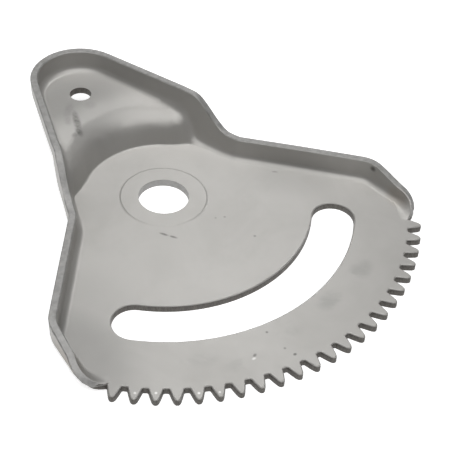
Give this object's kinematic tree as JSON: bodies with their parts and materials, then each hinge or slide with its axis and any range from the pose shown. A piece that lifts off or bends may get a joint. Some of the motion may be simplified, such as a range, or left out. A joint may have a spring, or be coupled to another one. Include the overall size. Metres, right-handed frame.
{
  "type": "sector gear",
  "caption": "Stamped sheet-steel steering sector gear: toothed arc, curved slot, pivot bore and a raised, flanged lever arm with a link hole. A pinion swings it to pull a link.",
  "frame": {"origin": "pivot bore axis at the underside of the flat plate", "axes": "+Z along the bore axis, towards the side that the flange stands on; +Y from the pivot to the link hole; the teeth lie towards -Y"},
  "size_m": [0.1744, 0.1983, 0.0284],
  "materials": {
    "steel": "satin, bare steel"
  },
  "bodies": {
    "root": {"sector_gear": "steel"}
  },
  "joints": []
}
